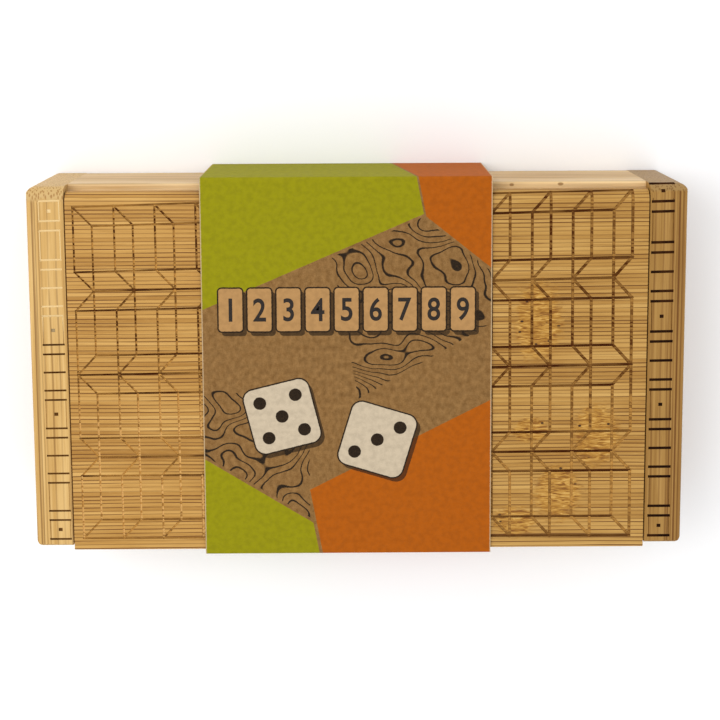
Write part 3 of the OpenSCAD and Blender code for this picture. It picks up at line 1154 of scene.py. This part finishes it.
def nearestTile(spot):
    # The place within the nearest tile of the row: the row folded up at its pitch
    x, y = split(spot)[:2]
    pitch = printLook["tilePitch"]
    index = calc("MAXIMUM", calc("MINIMUM", calc("ROUND", x / pitch), 4.0), -4.0)
    return made(spot.tree, "CombineXYZ", {0: x - index * pitch, 1: y})


def drawnTiles(colour, spot):
    distances = [
        roundedBox(nearestTile(place), *printLook["tileHalf"], printLook["corner"])
        for place in placesOn(spot, printLook["tileRow"], 0)
    ]
    return drawnShape(colour, *distances, printLook["tileInk"])


def printedCard(length, path):
    material, tree, sockets = newMaterial("printedCard", 0.7, 0.1)
    where = made(tree, "UVMap", {}, uv_map="unrolled") * (1 / mm, 1 / mm, 1)
    top = np.abs(path[:, 1] - path[:, 1].max()) < 1e-6
    middle = float((length[top].min() + length[top].max()) / 2)
    spot = (where - (printLook["middle"][0], middle - printLook["middle"][1], 0)) * (1, -1, 0)
    wobble = noise(spot * (1.4, 1.4, 1), output="Color") - (0.5, 0.5, 0.5)
    spot = spot + wobble * (0.3, 0.3, 0)
    kraft, tooth = kraftColour(where)
    bands = calc("FRACT", noise(spot * (0.03, 0.04, 1), 1.5) * printLook["contourCount"])
    lines = rise(abs(bands - 0.5), 0.13, 0.06)
    area = extreme("MAXIMUM", [inked(facet(spot, sides)) for sides in printLook["contours"]])
    colour = blend(lines * area, kraft, printLook["black"])
    for ink, sides in printLook["facets"]:
        colour = blend(inked(facet(spot, sides)), colour, printLook[ink])
    colour = drawnTiles(colour, spot)
    for die in printLook["dice"]:
        colour = drawnDie(colour, spot, *die)
    # The ink lies a little unevenly, the kraft's own fibres show faintly through it, and the card
    # is worn pale at its cut edges
    uneven = shades(noise(where * (0.45, 0.45, 0.45), 4.0), *printLook["uneven"])
    colour = blend(1.0, colour, uneven, "MULTIPLY")
    colour = blend(calc("MULTIPLY_ADD", tooth, 0.4, -0.13), colour, kraft)
    rim = printLook["halfWidth"] - abs(split(spot)[0])
    colour = blend(rise(rim + tooth * 0.5, 0.75, 0.35), colour, printLook["wear"])
    finishLook(sockets, colour, tooth, 0.02 * mm)
    return material


def makePrintedNumbers():
    # Plain numbers on the drawn tiles, as a film of ink on the card
    _, high = np.array(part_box("sleeve_top_panel"))
    ink, tree, sockets = newMaterial("blackInk", 0.5)
    speck = noise(spotOn(tree, 3), 3.0)
    plug(sockets["Base Color"], shades(speck, (0.3, printLook["black"]), (0.75, paint(52, 42, 34))))
    digits = []
    for number in range(1, 10):
        x = printLook["middle"][0] + printLook["tileRow"][0] + (number - 5) * printLook["tilePitch"]
        place = Matrix.Translation((x * mm, printLook["tileRow"][1] * mm, high[2]))
        digits.append(digitShape(number, place, ink, printLook))
    numbers = joined("printedNumbers", digits)
    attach(numbers, "sleeve")


# Floor, light and camera

stageLook = {
    "camera": (-0.00017, 0.12769, 0.500),
    "right": (0.99998, -0.00499, 0.00341),
    "up": (0.00533, 0.99398, -0.10942),
    "back": (-0.00284, 0.10944, 0.99399),
    "lens": 63.756,
    "lift": -0.28,  # vertical shift that the photograph's framing needs
    "room": 0.9,
    "roomColour": (0.98, 0.985, 1.0, 1),
    "lamps": (  # name, place, width in metres, power in watts
        ("keyLight", (-0.55, 0.25, 0.85), 0.6, 3.4),
        ("fillLight", (0.7, -0.5, 0.9), 0.9, 0.8),
        ("backLight", (-0.1, 0.9, 0.5), 0.6, 0.9),
    ),
    "floor": paint(254, 254, 254),
    "floorSize": 30.0,  # in metres
    "floorDrop": 0.02 * mm,
}


def makeStage():
    corners = np.array([[-1, -1, 0], [1, -1, 0], [1, 1, 0], [-1, 1, 0]]) * stageLook["floorSize"] / 2
    corners[:, 2] = -stageLook["floorDrop"]
    material, _, sockets = newMaterial("paleFloor", 0.8)
    sockets["Base Color"].default_value = stageLook["floor"]
    floor = meshPiece("floor", corners, [[0, 1, 2, 3]], [material])
    world = bpy.data.worlds.new("softRoom")
    bpy.context.scene.world = world
    world.use_nodes = True
    background = world.node_tree.nodes["Background"]
    background.inputs["Color"].default_value = stageLook["roomColour"]
    background.inputs["Strength"].default_value = stageLook["room"]
    for name, place, width, power in stageLook["lamps"]:
        lamp = bpy.data.lights.new(name, "AREA")
        lamp.shape = "SQUARE"
        lamp.size = width
        lamp.energy = power
        holder = placed(name, lamp)
        holder.location = place
        holder.rotation_euler = (-Vector(place)).to_track_quat("-Z", "Y").to_euler()
    camera = placed("camera", bpy.data.cameras.new("camera"))
    camera.data.sensor_width = 36.0
    camera.data.lens = stageLook["lens"]
    camera.data.shift_y = stageLook["lift"]
    camera.data.clip_start = 0.01
    turn = Matrix((stageLook["right"], stageLook["up"], stageLook["back"])).transposed()
    camera.matrix_world = Matrix.Translation(stageLook["camera"]) @ turn.to_4x4()
    bpy.context.scene.camera = camera
    bpy.context.scene.view_settings.view_transform = "Standard"


makeStage()
print("stage ready")
makeTray()
makeSteel()
print("tray dressed")
makeEnd("left_end", "leftEnd", endLook["left"], -1)
makeEnd("right_end", "rightEnd", endLook["right"], 1)
print("end boards engraved")
makeLid()
print("lid engraved")
makeTiles()
print("tiles numbered")
makeDice()
print("dice made")
makeSleeve()
makePrintedNumbers()
print("sleeve folded")
